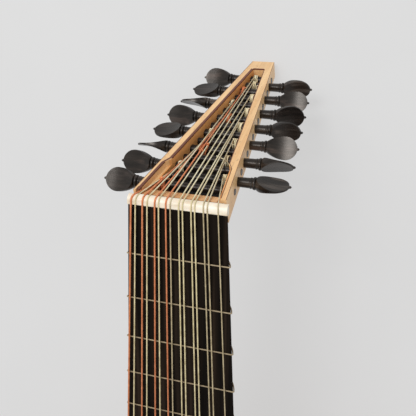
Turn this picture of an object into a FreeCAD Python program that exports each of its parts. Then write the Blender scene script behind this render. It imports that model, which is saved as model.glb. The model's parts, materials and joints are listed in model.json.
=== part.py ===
import FreeCAD, Part
import math
import os

import Sketcher

# An eight-course Renaissance lute, in millimetres.
#
# The lute frame, in which everything is laid out, has its origin at the centre of the nut's front edge on
# the fingerboard's surface: x runs to the treble side, y along the neck towards the head, and z out of the
# soundboard. At the end the whole instrument is laid on its back, resting on the bowl and on the end of the
# bent-back pegbox, with the origin at the bottom centre of its bounding box.

Vector = FreeCAD.Vector
Rotation = FreeCAD.Rotation
Placement = FreeCAD.Placement

BASS = -1
TREBLE = 1
LEFT = 1
RIGHT = -1
RIBS = 11
FRETS = 8
BASS_PEGS = 8
TREBLE_PEGS = 7

DIMENSIONS = {
    "string_length": (600, "nut to bridge"),
    # bowl and soundboard
    "neck_joint": (228, "nut to the joint of neck and bowl"),
    "axis_height": (11, "the bowl's axis above the soundboard"),
    "joint_radius": (44.3, "the bowl's radius at the neck joint"),
    "flank_radius": (151.3, "the bowl's round flank"),
    "flank_centre": (301, "flank's centre, along from the joint"),
    "flank_offset": (10.2, "flank's centre, out from the axis"),
    "shoulder_angle": (103.14, "where the flank meets the shoulder arc"),
    "tail_angle": (7.44, "where the flank meets the tail arc"),
    "rib_wall": (1.7, "thickness of the ribs"),
    "rib_angle": (15.64, "each rib's share of the bowl"),
    "clasp_wall": (1.5, "thickness of the end clasp"),
    "clasp_length": (11, "the clasp's reach over the tail, along the body"),
    "board_thickness": (1.7, "soundboard"),
    "rose_place": (156, "rose's centre, from the neck joint"),
    "rose_radius": (50, "hole in the soundboard"),
    "rose_thickness": (1.3, "carved rose"),
    "bar_width": (5, "cross bars under the soundboard"),
    "bar_depth": (14, "cross bars under the soundboard"),
    "block_length": (38, "neck block inside the bowl"),
    "lining_length": (26, "end lining inside the tail"),
    "bridge_width": (18, "along the strings"),
    "bridge_length": (144, "across the strings"),
    "bridge_height": (9, "bridge"),
    "bridge_shift": (-3, "bridge's middle, towards the bass"),
    "bridge_rise": (7, "strings above the soundboard at the bridge"),
    "body_fret": (1.4, "wooden frets on the soundboard"),
    # neck, fingerboard and nut
    "nut_radius": (35, "the neck's round back at the nut"),
    "board_depth": (2.5, "fingerboard"),
    "lip": (6.1, "the neck's lip, under the nut"),
    "nut_width": (66.4, "nut, across the neck"),
    "nut_depth": (6.6, "nut, along the neck"),
    "nut_height": (1.4, "nut above the fingerboard"),
    "nut_round": (4, "the nut's rounded back edge"),
    "string_rise": (1.6, "strings above the fingerboard at the nut"),
    "fret_gut": (0.9, "diameter of a tied fret"),
    "fret_gap": (0.15, "a tied fret's clearance"),
    "fret_corner": (0.61, "bend of a tied fret at the fingerboard's edge"),
    # pegbox
    "pegbox_bend": (71.8, "bend back from the neck's line"),
    "pegbox_y": (8.25, "start of the pegbox's rim"),
    "pegbox_z": (-1.58, "start of the pegbox's rim"),
    "rim_length": (204.3, "pegbox's rim"),
    "rim_start": (1.8, "pegbox's end face under the neck's lip"),
    "half_start": (31.24, "half width at the rim's start"),
    "half_end": (9.6, "half width at the head"),
    "depth_start": (17.46, "depth at the rim's start"),
    "depth_end": (13.3, "depth at the head"),
    "cheek": (6.4, "thickness of a cheek"),
    "thin_rim": (3.7, "rim beside the scoop near the nut"),
    "scoop_end": (36, "end of the scoop"),
    "scoop_ramp": (6, "length of the scoop's slanted end"),
    "scoop_depth": (4.6, "depth of the scoop"),
    "notch_end": (6.2, "notch in the bass cheek's rim for the lowest string"),
    "notch_inset": (1.5, "that notch's distance from the outer face"),
    "notch_depth": (3.4, "depth of that notch"),
    "back_wall": (1.3, "pegbox's back"),
    "end_block": (15.3, "block between the cheeks at the head"),
    "neck_block_end": (9.5, "block between the cheeks behind the nut"),
    "neck_block_top": (2.4, "that block's top below the rim, at the nut"),
    "neck_block_drop": (4.4, "that block's top below the rim, at its far edge"),
    # pegs
    "peg_first": (24, "first peg, along the rim"),
    "peg_pitch": (11.41, "from one peg to the next"),
    "peg_depth": (9.9, "first peg's axis below the rim"),
    "peg_rise": (2.31, "how much nearer the rim the pegs would be at the head"),
    "peg_reach": (36, "from the cheek to a peg's tip"),
    "peg_radius": (3.3, "shaft at the cheek"),
    "peg_taper": (0.02, "change of radius per length"),
    "peg_fit": (0.05, "clearance of a peg in its bores"),
    "peg_proud": (0.4, "a shaft's end beyond the far cheek"),
    "button_radius": (6, "strap button's head"),
    "button_neck": (3.5, "strap button's neck"),
    "screw_radius": (2.5, "screw that holds the neck"),
    "screw_length": (62, "screw that holds the neck"),
}

# How each peg's head is turned at rest, in degrees, from the one nearest the nut to the one at the head.
BASS_ROLLS = [-50, -62, 36, -8, -62, 40, -8, -58]
TREBLE_ROLLS = [-3, 126, 52, 100, 86, 52, 104]

# Each string: course and letter, diameter, place across the nut, place across the bridge, and the number of
# its peg, counted along the rim from the nut, with the place of its winding across the pegbox.
STRINGS = [
    ("8_a", 1.25, -30.2, -61.0, 0, -18.0),
    ("8_b", 0.95, -27.2, -53.3, 2, -13.8),
    ("7_a", 1.2, -22.4, -43.0, 4, -10.6),
    ("7_b", 0.95, -19.2, -37.5, 6, -7.6),
    ("6_a", 1.15, -14.1, -27.0, 8, -5.5),
    ("6_b", 0.95, -11.5, -20.3, 10, -7.1),
    ("5_a", 1.1, -6.7, -10.0, 12, -4.3),
    ("5_b", 0.9, -3.75, -5.0, 14, -1.9),
    ("4_a", 0.95, 1.84, 5.6, 13, 0.0),
    ("4_b", 0.95, 4.35, 10.3, 11, 3.9),
    ("3_a", 0.95, 9.95, 20.9, 9, 6.5),
    ("3_b", 0.95, 12.3, 26.0, 7, 7.5),
    ("2_a", 0.9, 17.9, 38.8, 5, 10.5),
    ("2_b", 0.9, 20.5, 42.4, 3, 12.7),
    ("1", 0.8, 27.4, 55.0, 1, 19.0),
]
WINDING_GAP = 0.1
WINDING_TURNS = 3
BRIDGE_CLEARANCE = 0.05


class Size:
    """A number together with the spreadsheet formula that it comes from."""

    def __init__(self, value, text=None):
        self.value = float(value)
        self.text = text or f"({value!r})"

    def __add__(self, other):
        return combine(self, other, "+", lambda a, b: a + b)

    def __sub__(self, other):
        return combine(self, other, "-", lambda a, b: a - b)

    def __mul__(self, other):
        return combine(self, other, "*", lambda a, b: a * b)

    def __truediv__(self, other):
        return combine(self, other, "/", lambda a, b: a / b)

    def __radd__(self, other):
        return Size(other) + self

    def __rsub__(self, other):
        return Size(other) - self

    def __rmul__(self, other):
        return Size(other) * self

    def __neg__(self):
        return Size(-self.value, f"(0 - {self.text})")


def combine(first, second, sign, work):
    second = second if isinstance(second, Size) else Size(second)
    return Size(work(first.value, second.value), f"({first.text} {sign} {second.text})")


def cos(angle):
    return Size(math.cos(math.radians(angle.value)), f"cos({angle.text} * 1 deg)")


def sin(angle):
    return Size(math.sin(math.radians(angle.value)), f"sin({angle.text} * 1 deg)")


def root(number):
    return Size(math.sqrt(number.value), f"sqrt({number.text})")


doc = FreeCAD.newDocument("lute")
sheet = doc.addObject("Spreadsheet::Sheet", "sizes")
for row, (alias, (number, note)) in enumerate(DIMENSIONS.items(), 1):
    sheet.set(f"A{row}", str(number))
    sheet.setAlias(f"A{row}", alias)
    sheet.set(f"B{row}", note)
doc.recompute()


def size(alias):
    return Size(sheet.get(alias), f"<<sizes>>.{alias}")


def length(alias):
    return float(sheet.get(alias))


# ---------------------------------------------------------------- sketches and features

parts = {}


def keep(node, shape_object, placement=None):
    """Names a finished sub-part, which is written to parts/NODE.step."""
    shape_object.Label = node
    if placement is not None:
        shape_object.Placement = placement
    parts[node] = shape_object
    return shape_object


def new_body(name):
    return doc.addObject("PartDesign::Body", name)


def new_sketch(body, name, role="XY_Plane", offset=None):
    sketch = body.newObject("Sketcher::SketchObject", name)
    plane = next(p for p in body.Origin.OriginFeatures if p.Role == role)
    sketch.AttachmentSupport = (plane, [""])
    sketch.MapMode = "FlatFace"
    if offset is not None:
        sketch.AttachmentOffset = Placement(Vector(0, 0, offset.value), Rotation())
        sketch.setExpression("AttachmentOffset.Base.z", offset.text)
    return sketch


def as_size(number):
    return number if isinstance(number, Size) else Size(number)


def arc_between(start, end, radius, side):
    """The shorter arc from start to end with its centre on that side of the chord. A sketch keeps every arc
    anticlockwise, so an arc with its centre to the right is returned running from end to start."""
    chord = end - start
    half = chord.Length / 2
    left = Vector(-chord.y, chord.x, 0).normalize()
    centre = start + chord * 0.5 + left * (side * math.sqrt(radius**2 - half**2))
    ends = (start, end) if side == LEFT else (end, start)
    angles = [math.atan2(p.y - centre.y, p.x - centre.x) for p in ends]
    return Part.ArcOfCircle(Part.Circle(centre, Vector(0, 0, 1), radius), *angles)


def draw(sketch, outline):
    """Draws a closed outline whose corners, and arcs' radii, stay bound to the sheet. A corner is (x, y), or
    (x, y, radius, LEFT or RIGHT) where an arc with its centre on that side leads on to the next corner."""
    corners = [(as_size(corner[0]), as_size(corner[1])) for corner in outline]
    points = [Vector(x.value, y.value, 0) for x, y in corners]
    first = sketch.GeometryCount
    count = len(outline)
    ends = []
    for i, corner in enumerate(outline):
        start, end = points[i], points[(i + 1) % count]
        if len(corner) == 2:
            sketch.addGeometry(Part.LineSegment(start, end))
            ends.append((1, 2))
            continue
        radius, side = as_size(corner[2]), corner[3]
        edge = sketch.addGeometry(arc_between(start, end, radius.value, side))
        bind(sketch, Sketcher.Constraint("Radius", edge, radius.value), radius)
        ends.append((1, 2) if side == LEFT else (2, 1))
    for i, (x, y) in enumerate(corners):
        edge, after = first + i, (i + 1) % count
        joined = (edge, ends[i][1], first + after, ends[after][0])
        sketch.addConstraint(Sketcher.Constraint("Coincident", *joined))
        bind(sketch, Sketcher.Constraint("DistanceX", -1, 1, edge, ends[i][0], x.value), x)
        bind(sketch, Sketcher.Constraint("DistanceY", -1, 1, edge, ends[i][0], y.value), y)


def bind(sketch, constraint, number):
    index = sketch.addConstraint(constraint)
    sketch.setExpression(f"Constraints[{index}]", number.text)


def circle(sketch, x, y, radius):
    x, y, radius = as_size(x), as_size(y), as_size(radius)
    edge = sketch.addGeometry(Part.Circle(Vector(x.value, y.value, 0), Vector(0, 0, 1), radius.value))
    bind(sketch, Sketcher.Constraint("Radius", edge, radius.value), radius)
    bind(sketch, Sketcher.Constraint("DistanceX", -1, 1, edge, 3, x.value), x)
    bind(sketch, Sketcher.Constraint("DistanceY", -1, 1, edge, 3, y.value), y)


def pad(body, outline, height, role="XY_Plane", offset=None, symmetric=False, reverse=False):
    sketch = new_sketch(body, body.Name + "_outline", role, offset)
    draw(sketch, outline)
    feature = body.newObject("PartDesign::Pad", body.Name + "_pad")
    feature.Profile = sketch
    feature.SideType = "Symmetric" if symmetric else "One side"
    feature.Reversed = reverse
    feature.setExpression("Length", as_size(height).text)
    return feature


def pocket(body, outlines, role="XY_Plane", depth=None):
    """Cuts outlines out of a body: right through both ways, or to a depth from the plane downwards."""
    sketch = new_sketch(body, f"{body.Name}_cut_{len(body.Group)}", role)
    for outline in outlines:
        draw(sketch, outline)
    feature = body.newObject("PartDesign::Pocket", f"{body.Name}_pocket_{len(body.Group)}")
    feature.Profile = sketch
    if depth is None:
        feature.SideType = "Symmetric"
        feature.Type = "ThroughAll"
    else:
        feature.setExpression("Length", as_size(depth).text)
    return feature


def revolve(body, outline, angle=360):
    """Turns an outline about its sketch's x axis, evenly to both sides of the sketch."""
    sketch = new_sketch(body, body.Name + "_outline")
    draw(sketch, outline)
    feature = body.newObject("PartDesign::Revolution", body.Name + "_turn")
    feature.Profile = sketch
    feature.ReferenceAxis = (sketch, ["H_Axis"])
    feature.Midplane = True
    feature.setExpression("Angle", as_size(angle).text)
    return feature


def box(name, sides, corner):
    """A plain block used to trim other shapes."""
    block = doc.addObject("Part::Box", name)
    for side, number in zip(("Length", "Width", "Height"), sides):
        block.setExpression(side, as_size(number).text)
    for axis, number in zip("xyz", corner):
        block.setExpression(f"Placement.Base.{axis}", as_size(number).text)
    return block


def boolean(kind, name, base, tool):
    result = doc.addObject(f"Part::{kind}", name)
    result.Base = base
    result.Tool = tool
    return result


def compound(name, objects):
    group = doc.addObject("Part::Compound", name)
    group.Links = objects
    return group


# ---------------------------------------------------------------- bowl

AXIS = size("axis_height")
JOINT = size("neck_joint")
FLANK = size("flank_radius")
FLANK_X = size("flank_centre")
FLANK_R = size("flank_offset")
BOARD = size("board_thickness")
ROOM = 400

# In the bowl's own frame x runs from the neck joint to the tail, y is the distance from the bowl's axis
# straight down through its back, and z points to the treble side.
BOWL = Placement(
    Vector(0, -JOINT.value, AXIS.value),
    Rotation(Vector(0, -1, 0), Vector(0, 0, -1), Vector(1, 0, 0), "XYZ"),
)


def bowl_outline(depth):
    """The bowl's outline from joint to tail, at a depth inside its surface: shoulder, flank and tail arcs,
    each tangent to the next. Returns the corners of the three arcs, ending on the axis."""
    shoulder, tail = size("shoulder_angle"), size("tail_angle")
    reach_x = FLANK_X + FLANK * cos(shoulder)
    reach_r = FLANK_R + FLANK * sin(shoulder) - size("joint_radius")
    along = reach_x * cos(shoulder) + reach_r * sin(shoulder)
    shoulder_radius = (reach_x * reach_x + reach_r * reach_r) / (2 * along)
    tail_radius = FLANK + FLANK_R / sin(tail)
    tail_x = FLANK_X - (tail_radius - FLANK) * cos(tail)
    centre_x = reach_x - shoulder_radius * cos(shoulder)
    centre_r = reach_r + size("joint_radius") - shoulder_radius * sin(shoulder)
    inner = shoulder_radius - depth
    return [
        (Size(0), centre_r + root(inner * inner - centre_x * centre_x), inner, RIGHT),
        (
            FLANK_X + (FLANK - depth) * cos(shoulder),
            FLANK_R + (FLANK - depth) * sin(shoulder),
            FLANK - depth,
            RIGHT,
        ),
        (
            FLANK_X + (FLANK - depth) * cos(tail),
            FLANK_R + (FLANK - depth) * sin(tail),
            tail_radius - depth,
            RIGHT,
        ),
        (tail_x + tail_radius - depth, Size(0)),
    ]


def reversed_outline(corners):
    """The same arcs, walked the other way."""
    path = []
    for i in range(len(corners) - 1, -1, -1):
        arc = corners[i - 1][2:] if i > 0 else ()
        path.append(corners[i][:2] + ((arc[0], LEFT) if arc else ()))
    return path


def filled_bowl(name, depth):
    """The whole turned form at a depth inside the bowl's surface."""
    body = new_body(name)
    revolve(body, [(Size(0), Size(0))] + bowl_outline(depth))
    body.Placement = BOWL
    return body


outside = filled_bowl("outside_form", Size(0))
inside = filled_bowl("inside_form", size("rib_wall"))
under_board = box("under_board", (ROOM, 2 * ROOM, ROOM), (-ROOM / 2, -2 * ROOM, -ROOM - BOARD))

# The end of the bowl, on its axis.
overhang = FLANK_R / sin(size("tail_angle"))
TAIL_Y = -(JOINT + FLANK_X - overhang * cos(size("tail_angle")) + FLANK + overhang)

# The tapered bore for the strap button, through clasp, rib and lining.
BUTTON_AT = Vector(0, TAIL_Y.value, -1.6 * length("flank_offset"))
button_place = Placement(BUTTON_AT, Rotation(Vector(1, 0, 0), 90))
BUTTON_SHANK = 12
BUTTON_SEAT = 1.5
shank = doc.addObject("Part::Cone", "shank_bore")
shank.setExpression("Radius1", (size("button_neck") * 0.8).text)
shank.setExpression("Radius2", size("button_neck").text)
shank.Height = BUTTON_SHANK + BUTTON_SEAT
shank.Placement = button_place.multiply(Placement(Vector(0, 0, -BUTTON_SHANK), Rotation()))

ribs = []
for number in range(RIBS):
    rib = new_body(f"rib_{number + 1}")
    wall = bowl_outline(Size(0)) + reversed_outline(bowl_outline(size("rib_wall")))
    revolve(rib, wall, size("rib_angle"))
    turn = (number - (RIBS - 1) / 2) * length("rib_angle")
    rib.Placement = BOWL.multiply(Placement(Vector(), Rotation(Vector(1, 0, 0), turn)))
    ribs.append(boolean("Common", f"rib_{number + 1}_trimmed", rib, under_board))
middle = RIBS // 2
ribs[middle] = boolean("Cut", "middle_rib", ribs[middle], shank)
keep("bowl_ribs", compound("bowl_ribs", ribs))

clasp_shell = boolean("Cut", "clasp_shell", filled_bowl("clasp_form", -size("clasp_wall")), outside)
clasp_room = box(
    "clasp_room",
    (ROOM, 2 * size("clasp_length"), ROOM),
    (-ROOM / 2, TAIL_Y - size("clasp_length"), -Size(ROOM)),
)
clasp_blank = boolean("Common", "clasp_blank", clasp_shell, clasp_room)

lining_room = box(
    "lining_room",
    (ROOM, 2 * size("lining_length"), ROOM),
    (-ROOM / 2, TAIL_Y - size("lining_length"), -ROOM - BOARD),
)
lining_blank = boolean("Common", "lining_blank", inside, lining_room)

block_room = box(
    "block_room",
    (ROOM, size("block_length"), ROOM),
    (-ROOM / 2, -JOINT - size("block_length"), -ROOM - BOARD),
)
block_blank = boolean("Common", "block_blank", inside, block_room)

# The screw runs along the neck, from inside the neck block into the neck.
screw_place = Placement(Vector(0, -JOINT.value - length("block_length"), -length("joint_radius") / 3),
                        Rotation(Vector(1, 0, 0), -90))
screw = new_body("neck_screw")
screw_head = size("screw_radius") * 2
revolve_screw = new_sketch(screw, "screw_outline", "XZ_Plane")
draw(revolve_screw, [
    (0, -3),
    (screw_head, -3),
    (size("screw_radius"), 0),
    (size("screw_radius"), size("screw_length") - 8),
    (0, size("screw_length")),
])
screw_turn = screw.newObject("PartDesign::Revolution", "screw_turn")
screw_turn.Profile = revolve_screw
screw_turn.ReferenceAxis = (revolve_screw, ["V_Axis"])
keep("neck_screw", screw, screw_place)
keep("neck_block", boolean("Cut", "neck_block", block_blank, screw))

# ---------------------------------------------------------------- soundboard, bars, rose, bridge

slab = box("board_slab", (ROOM, 2 * ROOM, BOARD), (-ROOM / 2, -2 * ROOM - JOINT, -BOARD))
board_blank = boolean("Common", "board_blank", outside, slab)
ROSE_Y = -JOINT - size("rose_place")
hole = doc.addObject("Part::Cylinder", "rose_hole")
hole.setExpression("Radius", size("rose_radius").text)
hole.setExpression("Height", (BOARD * 2).text)
hole.setExpression("Placement.Base.y", ROSE_Y.text)
hole.setExpression("Placement.Base.z", (BOARD * -1.5).text)
keep("soundboard", boolean("Cut", "soundboard", board_blank, hole))

# The rose: a thin disc in the hole, pierced by rings of round openings about a small centre.
rose = new_body("rose")
rose_sketch = new_sketch(rose, "rose_outline")
circle(rose_sketch, 0, 0, size("rose_radius"))
rose_disc = rose.newObject("PartDesign::Pad", "rose_disc")
rose_disc.Profile = rose_sketch
rose_disc.setExpression("Length", size("rose_thickness").text)
rose_cut = new_sketch(rose, "rose_openings")
PETALS = 12
for share, opening in ((0.3, 0.062), (0.54, 0.1), (0.8, 0.135)):
    for petal in range(PETALS):
        angle = 2 * math.pi * (petal + (0.5 if share == 0.54 else 0)) / PETALS
        reach = size("rose_radius") * share
        circle(rose_cut, reach * math.cos(angle), reach * math.sin(angle), size("rose_radius") * opening)
rose_pocket = rose.newObject("PartDesign::Pocket", "rose_pocket")
rose_pocket.Profile = rose_cut
rose_pocket.SideType = "Symmetric"
rose_pocket.Type = "ThroughAll"
keep("rose", rose, Placement(Vector(0, ROSE_Y.value, -length("board_thickness")), Rotation()))

BAR_PLACES = (55, 96, 216, 262, 318)
bars = []
for number, place in enumerate(BAR_PLACES, 1):
    bar_room = box(
        f"bar_room_{number}",
        (ROOM, size("bar_width"), size("bar_depth")),
        (-ROOM / 2, -JOINT - place, -BOARD - size("bar_depth")),
    )
    bars.append(boolean("Common", f"bar_{number}", inside, bar_room))
keep("soundboard_bars", compound("soundboard_bars", bars))

BRIDGE_Y = -size("string_length")
bridge = new_body("bridge")
bridge_rise, bridge_deep = size("bridge_height"), size("bridge_width")
pad(bridge, [
    (BRIDGE_Y, 0),
    (BRIDGE_Y, bridge_rise),
    (BRIDGE_Y - bridge_deep * 0.45, bridge_rise),
    (BRIDGE_Y - bridge_deep, bridge_rise * 0.45),
    (BRIDGE_Y - bridge_deep, 0),
], size("bridge_length"), "YZ_Plane", symmetric=True)
half_bridge = size("bridge_length") / 2
shoulder_cuts = [
    [
        (half_bridge * side, bridge_rise + 1),
        (half_bridge * side, bridge_rise * 0.4),
        ((half_bridge - 5) * side, bridge_rise * 0.4),
        ((half_bridge - 9) * side, bridge_rise + 1),
    ]
    for side in (BASS, TREBLE)
]
pocket(bridge, shoulder_cuts, "XZ_Plane")
keep("bridge", bridge, Placement(Vector(length("bridge_shift"), 0, 0), Rotation()))


def fret_place(number):
    """Distance of an equal-tempered fret from the nut."""
    return size("string_length") * (1 - 2 ** (-number / 12))


strips = []
for number in range(FRETS + 1, FRETS + 5):
    strip_reach = size("nut_width") * (0.6 - 0.045 * (number - FRETS))
    strips.append(box(
        f"body_fret_{number}",
        (2 * strip_reach, size("body_fret"), size("body_fret") * 0.5),
        (-strip_reach, -fret_place(number), 0),
    ))
keep("body_frets", compound("body_frets", strips))

# The strap button, turned, with its shank let into the end lining.
# The end of the bowl, on its axis.
overhang = FLANK_R / sin(size("tail_angle"))
TAIL_Y = -(JOINT + FLANK_X - overhang * cos(size("tail_angle")) + FLANK + overhang)

# The tapered bore for the strap button, through clasp, rib and lining.
button = new_body("strap_button")
button_sketch = new_sketch(button, "button_outline", "XZ_Plane")
neck_radius, head_radius = size("button_neck"), size("button_radius")
draw(button_sketch, [
    (0, -BUTTON_SHANK),
    (neck_radius * 0.8, -BUTTON_SHANK),
    (neck_radius, BUTTON_SEAT),
    (head_radius * 0.75, 1.6),
    (neck_radius, 3.6),
    (neck_radius, 8),
    (head_radius, 10.5),
    (head_radius, 12, 6, LEFT),
    (1, 14.4),
    (0, 14.4),
])
button_turn = button.newObject("PartDesign::Revolution", "button_turn")
button_turn.Profile = button_sketch
button_turn.ReferenceAxis = (button_sketch, ["V_Axis"])
keep("strap_button", button, button_place)
keep("end_lining", boolean("Cut", "end_lining", lining_blank, shank))
keep("end_clasp", boolean("Cut", "end_clasp", clasp_blank, shank))

# ---------------------------------------------------------------- neck, fingerboard, nut, tied frets


def neck_radius_at(distance):
    """Radius of the neck's round back at a distance from the nut."""
    return size("nut_radius") + (size("joint_radius") - size("nut_radius")) * (distance / JOINT)


def neck_section(body, distance, name):
    """The neck's section below the fingerboard's surface: a segment of a circle."""
    sketch = new_sketch(body, name, "XZ_Plane", as_size(distance))
    radius = neck_radius_at(as_size(distance))
    half = root(radius * radius - AXIS * AXIS)
    draw(sketch, [(-half, 0), (half, 0, radius, RIGHT), (0, AXIS - radius, radius, RIGHT)])
    return sketch


neck_form = new_body("neck_form")
near_section = neck_section(neck_form, -size("lip"), "neck_at_lip")
far_section = neck_section(neck_form, JOINT, "neck_at_joint")
neck_loft = neck_form.newObject("PartDesign::AdditiveLoft", "neck_loft")
neck_loft.Profile = near_section
neck_loft.Sections = [far_section]
neck_loft.Ruled = True

board_room = box(
    "fingerboard_room", (ROOM, JOINT, size("board_depth")), (-ROOM / 2, -JOINT, -size("board_depth")))
keep("fingerboard", boolean("Common", "fingerboard", neck_form, board_room))

PEGBOX = Placement(
    Vector(0, length("pegbox_y"), length("pegbox_z")), Rotation(Vector(1, 0, 0), -length("pegbox_bend")))
RIM = size("rim_length")
RIM_START = size("rim_start")
DEEP = size("depth_start")
DEEP_END = size("depth_end")


def half_width(along):
    """Half the pegbox's outer width at a distance along its rim."""
    return size("half_start") + (size("half_end") - size("half_start")) * (along / RIM)


def depth_at(along):
    return DEEP + (DEEP_END - DEEP) * (along / RIM)


# The neck's end is rebated for the pegbox, leaving a lip under the nut.
rebate = new_body("neck_rebate")
REBATE_REACH = 60
pad(rebate, [
    (RIM_START, ROOM / 8),
    (RIM_START, -depth_at(RIM_START)),
    (REBATE_REACH, -depth_at(Size(REBATE_REACH))),
    (REBATE_REACH, ROOM / 8),
], ROOM / 2, "YZ_Plane", symmetric=True)
rebate.Placement = PEGBOX
neck_room = box("neck_room", (ROOM, 2 * ROOM, ROOM), (-ROOM / 2, -Size(ROOM), -ROOM - size("board_depth")))
neck_blank = boolean("Common", "neck_blank", neck_form, neck_room)
neck_rebated = boolean("Cut", "neck_rebated", neck_blank, rebate)
keep("neck", boolean("Cut", "neck", neck_rebated, screw))

nut = new_body("nut_blank")
nut_top, nut_round, nut_depth = size("nut_height"), size("nut_round"), size("nut_depth")
pad(nut, [
    (0, -size("board_depth")),
    (nut_depth, -size("board_depth")),
    (nut_depth, nut_top - nut_round, nut_round, LEFT),
    (nut_depth - nut_round, nut_top),
    (0.8, nut_top, 0.8, LEFT),
    (0, nut_top - 0.8),
], size("nut_width"), "YZ_Plane", symmetric=True)

FRET_RADIUS = size("fret_gut") / 2
for number in range(1, FRETS + 1):
    fret = new_body(f"fret_{number}")
    distance = fret_place(number)
    path = new_sketch(fret, f"fret_{number}_path", "XZ_Plane", distance)
    ring = neck_radius_at(distance) + size("fret_gap") + FRET_RADIUS
    top = size("fret_gap") + FRET_RADIUS
    corner = size("fret_corner")
    centre_z = top - corner - AXIS
    centre_x = root((ring - corner) * (ring - corner) - centre_z * centre_z)
    side_x = ring * centre_x / (ring - corner)
    side_z = AXIS + ring * centre_z / (ring - corner)
    draw(path, [
        (-centre_x, top),
        (centre_x, top, corner, RIGHT),
        (side_x, side_z, ring, RIGHT),
        (0, AXIS - ring, ring, RIGHT),
        (-side_x, side_z, corner, RIGHT),
    ])
    gut = new_sketch(fret, f"fret_{number}_gut", "YZ_Plane")
    circle(gut, -distance, top, FRET_RADIUS)
    pipe = fret.newObject("PartDesign::AdditivePipe", f"fret_{number}_pipe")
    pipe.Profile = gut
    pipe.Spine = path
    keep(f"fret_{number}", fret)

# ---------------------------------------------------------------- pegbox

PEGS = BASS_PEGS + TREBLE_PEGS


def peg_along(number):
    return size("peg_first") + size("peg_pitch") * number


def peg_depth(number):
    return size("peg_depth") - size("peg_rise") * (peg_along(number) / RIM)


def peg_side(number):
    return BASS if number % 2 == 0 else TREBLE


def peg_frame(number, roll=0):
    """The frame of a peg: x along its axis towards its head, from the cheek's outer face."""
    along, side = peg_along(number), peg_side(number)
    place = Vector(side * half_width(along).value, along.value, -peg_depth(number).value)
    turn = Rotation() if side == TREBLE else Rotation(Vector(0, 0, 1), 180)
    rolled = Placement(Vector(), Rotation(Vector(1, 0, 0), roll))
    return PEGBOX.multiply(Placement(place, turn)).multiply(rolled)


BORE_SPARE = 2
bores = []
for number in range(PEGS):
    bore = doc.addObject("Part::Cone", f"bore_{number + 1}")
    deep = 2 * half_width(peg_along(number)) + BORE_SPARE
    bore.setExpression("Height", (deep + BORE_SPARE).text)
    bore.setExpression("Radius1", (size("peg_radius") + size("peg_fit") - size("peg_taper") * deep).text)
    bore.setExpression(
        "Radius2", (size("peg_radius") + size("peg_fit") + size("peg_taper") * BORE_SPARE).text)
    bore.Placement = peg_frame(number).multiply(
        Placement(Vector(-deep.value, 0, 0), Rotation(Vector(0, 1, 0), 90)))
    bores.append(bore)
peg_bores = compound("peg_bores", bores)

CHEEK = size("cheek")
SCOOP_END = size("scoop_end")
SCOOP_FAR = SCOOP_END + size("scoop_ramp")
PROUD = 1


def cheek(node, side):
    """One side of the pegbox: a tapering board, its upper inner edge scooped out near the nut."""
    body = new_body(node + "_blank")
    ends = (RIM_START, RIM)
    outer = [(half_width(s) * side, s) for s in ends]
    inner = [((half_width(s) - CHEEK) * side, s) for s in ends[::-1]]
    pad(body, outer + inner, DEEP, reverse=True)
    pocket(body, [[(RIM_START - PROUD, -depth_at(RIM_START - PROUD)), (RIM + PROUD, -depth_at(RIM + PROUD)),
                   (RIM + PROUD, -DEEP - PROUD), (RIM_START - PROUD, -DEEP - PROUD)]], "YZ_Plane")
    near = RIM_START - PROUD
    thin = size("thin_rim")
    scoop = [
        ((half_width(near) - thin) * side, near),
        ((half_width(SCOOP_END) - thin) * side, SCOOP_END),
        ((half_width(SCOOP_FAR) - CHEEK - PROUD) * side, SCOOP_FAR),
        ((half_width(near) - CHEEK - PROUD) * side, near),
    ]
    pocket(body, [scoop], depth=size("scoop_depth"))
    if side == BASS:
        notch = [(half_width(s) * side + inset, s) for s, inset in (
            (near, size("notch_inset")), (size("notch_end"), size("notch_inset")),
            (size("notch_end"), CHEEK), (near, CHEEK))]
        pocket(body, [notch], depth=size("notch_depth"))
    body.Placement = PEGBOX
    return keep(node, boolean("Cut", node, body, peg_bores))


cheek("pegbox_bass_cheek", BASS)
cheek("pegbox_treble_cheek", TREBLE)


def between_cheeks(node, side_outline):
    """A piece that fills the pegbox from cheek to cheek, given its outline seen from the side."""
    body = new_body(node)
    pad(body, side_outline, ROOM / 4, "YZ_Plane", symmetric=True)
    inner = [(half_width(s) - CHEEK, s) for s in (Size(-PROUD), RIM + PROUD)]
    trims = []
    for side in (BASS, TREBLE):
        trims.append([(inner[0][0] * side, inner[0][1]), (inner[1][0] * side, inner[1][1]),
                      (side * ROOM / 4, inner[1][1]), (side * ROOM / 4, inner[0][1])])
    pocket(body, trims)
    return keep(node, body, PEGBOX)


WALL = size("back_wall")
BLOCK_FAR = size("neck_block_end")
END_NEAR = RIM - size("end_block")
between_cheeks("pegbox_neck_block", [
    (RIM_START, -size("neck_block_top")),
    (BLOCK_FAR, -size("neck_block_drop")),
    (BLOCK_FAR, WALL - depth_at(BLOCK_FAR)),
    (RIM_START, WALL - depth_at(RIM_START)),
])
between_cheeks("pegbox_end_block", [
    (END_NEAR, 0),
    (RIM, 0),
    (RIM, WALL - depth_at(RIM)),
    (END_NEAR, WALL - depth_at(END_NEAR)),
])
between_cheeks("pegbox_back", [
    (RIM_START, WALL - depth_at(RIM_START)),
    (RIM, WALL - depth_at(RIM)),
    (RIM, -depth_at(RIM)),
    (RIM_START, -depth_at(RIM_START)),
])

# ---------------------------------------------------------------- pegs

REACH = size("peg_reach")


def shaft_radius(x):
    """Radius of a peg's tapered shaft at a distance outside its cheek."""
    return size("peg_radius") + size("peg_taper") * x


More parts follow.
